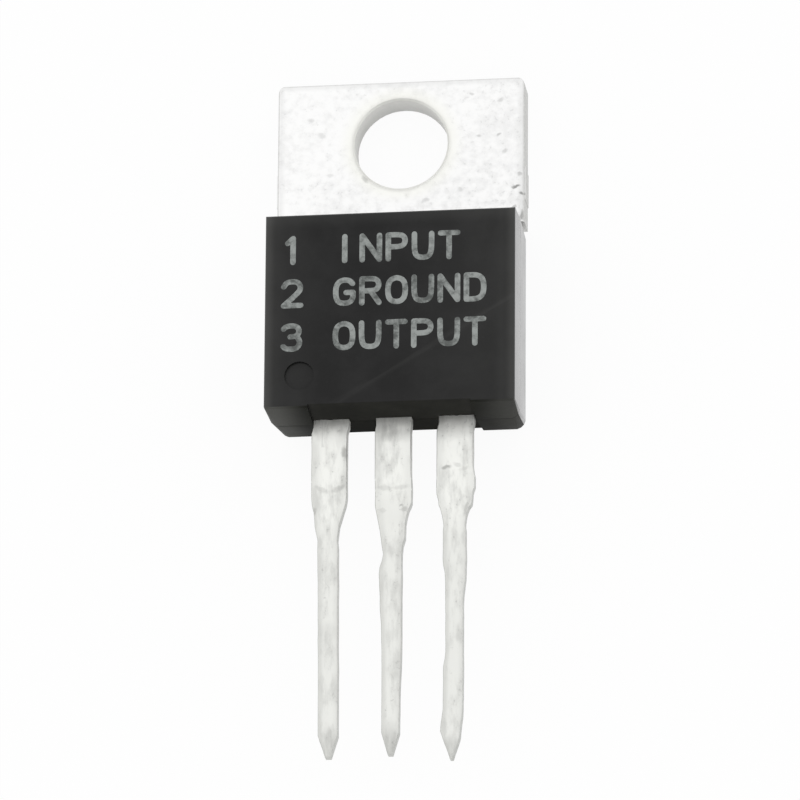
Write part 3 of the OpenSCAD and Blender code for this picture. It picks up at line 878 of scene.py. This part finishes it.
ROWS = (("1 INPUT", -5.62), ("2 GROUND", -7.46), ("3 OUTPUT", -9.34))
LETTER_W, LETTER_H, ADVANCE, ROW_LEFT = 0.7, 1.03, 1.06, -4.3
print("letters:", "".join(sorted(STROKES)))

# %% [markdown]
# ## Drawing a stroke
#
# A stroke is a thin tube round a line, with its ends drawn to a round point. Bends are made
# gentler by cutting them twice. At a turn as sharp as in an N the tube would pinch, so there the
# stroke stops and a new one starts in the same place, as a pen does when it turns back.

# %% Pen
PEN_R = 0.113
SHARP_TURN = math.radians(70)
TIP_REACH = ((0.95, 0.3), (0.6, 0.8))


def rounded_path(points):
    """The path with each bend cut to two gentler ones. The two ends stay."""
    inner = [a.lerp(b, t) for a, b in zip(points, points[1:]) for t in (0.25, 0.75)]
    return [points[0]] + inner[1:-1] + [points[-1]] if len(points) > 2 else points


def pen_line(curve, points):
    """One stroke as a poly spline whose radius shrinks to round ends."""
    for i in range(1, len(points) - 1):
        if (points[i] - points[i - 1]).angle(points[i + 1] - points[i]) > SHARP_TURN:
            pen_line(curve, points[:i + 1])
            pen_line(curve, points[i:])
            return
    points = rounded_path(rounded_path(points))
    ends = []
    for tip, inner in ((points[0], points[1]), (points[-1], points[-2])):
        away = (tip - inner).normalized() * PEN_R * MM
        ends.append([(tip + away * reach, radius) for reach, radius in TIP_REACH])
    chain = ends[0] + [(point, 1.0) for point in points] + ends[1][::-1]
    spline = curve.splines.new("POLY")
    spline.points.add(len(chain) - 1)
    for place, (point, radius) in zip(spline.points, chain):
        place.co = (*point, 1)
        place.radius = radius


print("pen", 2 * PEN_R, "mm wide")

# %% [markdown]
# ## The ink
#
# The ink is pale and thin, and the rough compound shows through it in places. Holes in the mesh
# would be far too many faces for that. So two noises blend a worn grey into a fresh one, and the
# finer of the two also roughens it.

# %% Ink
WORN_INK, FRESH_INK = (0.105, 0.112, 0.108), (0.335, 0.355, 0.344)
HOLES_SCALE, WEAR_SCALE = 3300, 700
INK_GLOSS, INK_RELIEF = 0.2, 0.004 * MM


def ink_finish():
    """Pale ink that is worn thin in places."""
    material, tree, shader = new_material("legend_ink")
    place = add(tree, "TexCoord").outputs["Object"]
    holes = cloud(tree, place, HOLES_SCALE, 4, 0.7)
    broad = cloud(tree, place, WEAR_SCALE)
    wear = weighted_sum(tree, (holes, 0.6), (broad, 0.4))
    tree.links.new(blend_colours(tree, fade(tree, wear, 0.38, 0.6), WORN_INK, FRESH_INK),
                   shader.inputs["Base Color"])
    tree.links.new(ramp(tree, holes, 0, 1, 0.55, 0.75), shader.inputs["Roughness"])
    shader.inputs["Specular IOR Level"].default_value = INK_GLOSS
    tree.links.new(bump(tree, holes, INK_RELIEF, 0.8), shader.inputs["Normal"])
    return material


legend_ink = ink_finish()
print("finish:", legend_ink.name)

# %% [markdown]
# ## Printing the rows
#
# The tubes of a row become one mesh, which is flattened to the thickness of ink and laid on the
# block's front. It could be painted on by the block's material, but a thin layer of its own
# keeps crisp edges from every distance.

# %% Printed rows
INK_T = 0.014


def printed_row(text, middle_y):
    """One row of the legend as a thin layer of ink on the block's front."""
    curve = bpy.data.curves.new("strokes", "CURVE")
    curve.dimensions = "3D"
    curve.bevel_depth, curve.bevel_resolution, curve.use_fill_caps = PEN_R * MM, 2, True
    for index, letter in enumerate(text):
        left = ROW_LEFT + index * ADVANCE
        for stroke in STROKES.get(letter, ()):
            pen_line(curve, [Vector((left + x * LETTER_W, (y - 0.5) * LETTER_H, 0)) * MM
                             for x, y in stroke])
    helper = bpy.data.objects.new("strokes", curve)
    bpy.context.scene.collection.objects.link(helper)
    graph = bpy.context.evaluated_depsgraph_get()
    mesh = bpy.data.meshes.new_from_object(helper.evaluated_get(graph))
    bpy.data.objects.remove(helper)
    bm = bmesh.new()
    bm.from_mesh(mesh)
    bmesh.ops.scale(bm, vec=(1, 1, INK_T / PEN_R / 2), verts=bm.verts)
    bmesh.ops.translate(bm, vec=Vector((0, middle_y, BODY_FRONT)) * MM, verts=bm.verts)
    bmesh.ops.recalc_face_normals(bm, faces=bm.faces)
    make_piece(bm, "legend_row_" + text[0], (legend_ink,), None)


for text, middle_y in ROWS:
    printed_row(text, middle_y)

# %% [markdown]
# ## What the moulding hides
#
# Inside the block a small silicon die sits on solder, and three drawn aluminium wires join it to
# the metal. Their CAD solids have the right shape, so they stay and only get finishes. Silicon
# shows fine rows of circuits under a glassy coat, solder freezes in dull grains, and a drawn
# wire has faint lengthwise streaks. One stretched noise gives all three.

# %% Hidden parts
def hidden_finish(name, dark, pale, scale, rough, relief, metallic, stretch=(1, 1, 1)):
    """A finish whose colour and relief follow one noise."""
    material, tree, shader = new_material(name)
    place = add(tree, "TexCoord").outputs["Object"]
    grains = cloud(tree, stretched(tree, place, stretch), scale, 3, 0.6)
    tree.links.new(blend_colours(tree, fade(tree, grains, 0.35, 0.65), dark, pale),
                   shader.inputs["Base Color"])
    tree.links.new(ramp(tree, grains, 0, 1, rough, rough + 0.3), shader.inputs["Roughness"])
    shader.inputs["Metallic"].default_value = metallic
    tree.links.new(bump(tree, grains, relief * MM, 0.6), shader.inputs["Normal"])
    return material


silicon = hidden_finish("silicon", (0.06, 0.07, 0.09), (0.16, 0.17, 0.2), 6000, 0.1, 0.001, 0.0,
                        (1, 0.2, 1))
solder = hidden_finish("solder", (0.42, 0.42, 0.4), (0.6, 0.6, 0.58), 4000, 0.35, 0.01, 1.0)
drawn_wire = hidden_finish("drawn_wire", (0.72, 0.72, 0.73), (0.86, 0.86, 0.87), 5000, 0.25,
                           0.002, 1.0, (1, 0.3, 1))
HIDDEN = {"regulator_die": silicon, "die_solder": solder, "input_wire": drawn_wire,
          "ground_wire": drawn_wire, "output_wire": drawn_wire}
for node, material in HIDDEN.items():
    nodes[node].data.materials.clear()
    nodes[node].data.materials.append(material)
print("hidden parts:", ", ".join(HIDDEN))

# %% [markdown]
# ## The floor
#
# The background of the reference view is plain white. More light on the floor would also clip
# the pale metal, so a mixed material keeps the soft shadow instead: part of it is an even white
# glow that only the camera and reflections see, and the rest is a white surface that takes
# shadow.

# %% Floor
FLOOR_SIZE, FLOOR_GLOW, FLOOR_WHITE = 3.0, 0.93, (0.98, 0.98, 0.98, 1)
FLOOR_ROUGH, FLOOR_DROP = 0.9, 0.01 * MM


def seen_directly(tree):
    """1 for camera, glossy and transmission rays, 0 for the rest."""
    path = add(tree, "LightPath").outputs
    both = math_node(tree, "MAXIMUM", path["Is Camera Ray"], path["Is Glossy Ray"])
    return math_node(tree, "MAXIMUM", both, path["Is Transmission Ray"])


bm = bmesh.new()
bmesh.ops.create_grid(bm, x_segments=1, y_segments=1, size=FLOOR_SIZE / 2)
floor_mesh = bpy.data.meshes.new("floor")
bm.to_mesh(floor_mesh)
bm.free()
floor = bpy.data.objects.new("floor", floor_mesh)
bpy.context.scene.collection.objects.link(floor)
floor_paint, tree, shader = new_material("floor_paint")
shader.inputs["Base Color"].default_value = FLOOR_WHITE
shader.inputs["Roughness"].default_value = FLOOR_ROUGH
shader.inputs["Specular IOR Level"].default_value = 0.0
glow = add(tree, "Emission", {"Color": (1, 1, 1, 1), "Strength": 1.0})
share = math_node(tree, "MULTIPLY", seen_directly(tree), FLOOR_GLOW)
mixed = add(tree, "MixShader", {0: share, 1: shader.outputs[0], 2: glow.outputs[0]})
tree.links.new(mixed.outputs[0], tree.nodes["Material Output"].inputs["Surface"])
floor_mesh.materials.append(floor_paint)
floor.location.z = -FLOOR_DROP
print("floor", FLOOR_SIZE, "m wide")

# %% [markdown]
# ## The light
#
# The world is white for the camera and for reflections, and a little weaker for diffuse light,
# so that white surfaces don't clip. It would light the part from all sides alike, so one large
# soft lamp at the upper left gives the light a direction.

# %% World and lamp
WORLD_DIFFUSE = 0.9
LAMP_PLACE, LAMP_SIZE, LAMP_RADIANCE = Vector((-0.34, 0.12, 0.46)), 0.5, 0.12

world = bpy.data.worlds.new("studio")
world.use_nodes = True
bpy.context.scene.world = world
tree = world.node_tree
background = tree.nodes["Background"]
background.inputs["Color"].default_value = (1, 1, 1, 1)
strength = ramp(tree, seen_directly(tree), 0, 1, WORLD_DIFFUSE, 1.0)
tree.links.new(strength, background.inputs["Strength"])

lamp_data = bpy.data.lights.new("key_lamp", "AREA")
lamp_data.size = LAMP_SIZE
lamp_data.energy = LAMP_RADIANCE * math.pi * LAMP_SIZE ** 2
lamp = bpy.data.objects.new("key_lamp", lamp_data)
bpy.context.scene.collection.objects.link(lamp)
lamp.location = LAMP_PLACE
lamp.rotation_euler = (TARGET - LAMP_PLACE).to_track_quat("-Z", "Y").to_euler()
print("world", WORLD_DIFFUSE, "lamp", round(lamp_data.energy, 3), "W")

# %% [markdown]
# ## Measuring and closing
# The colours are shown as they are, with the Standard view transform.

# %% Finish
bpy.context.scene.view_settings.view_transform = "Standard"
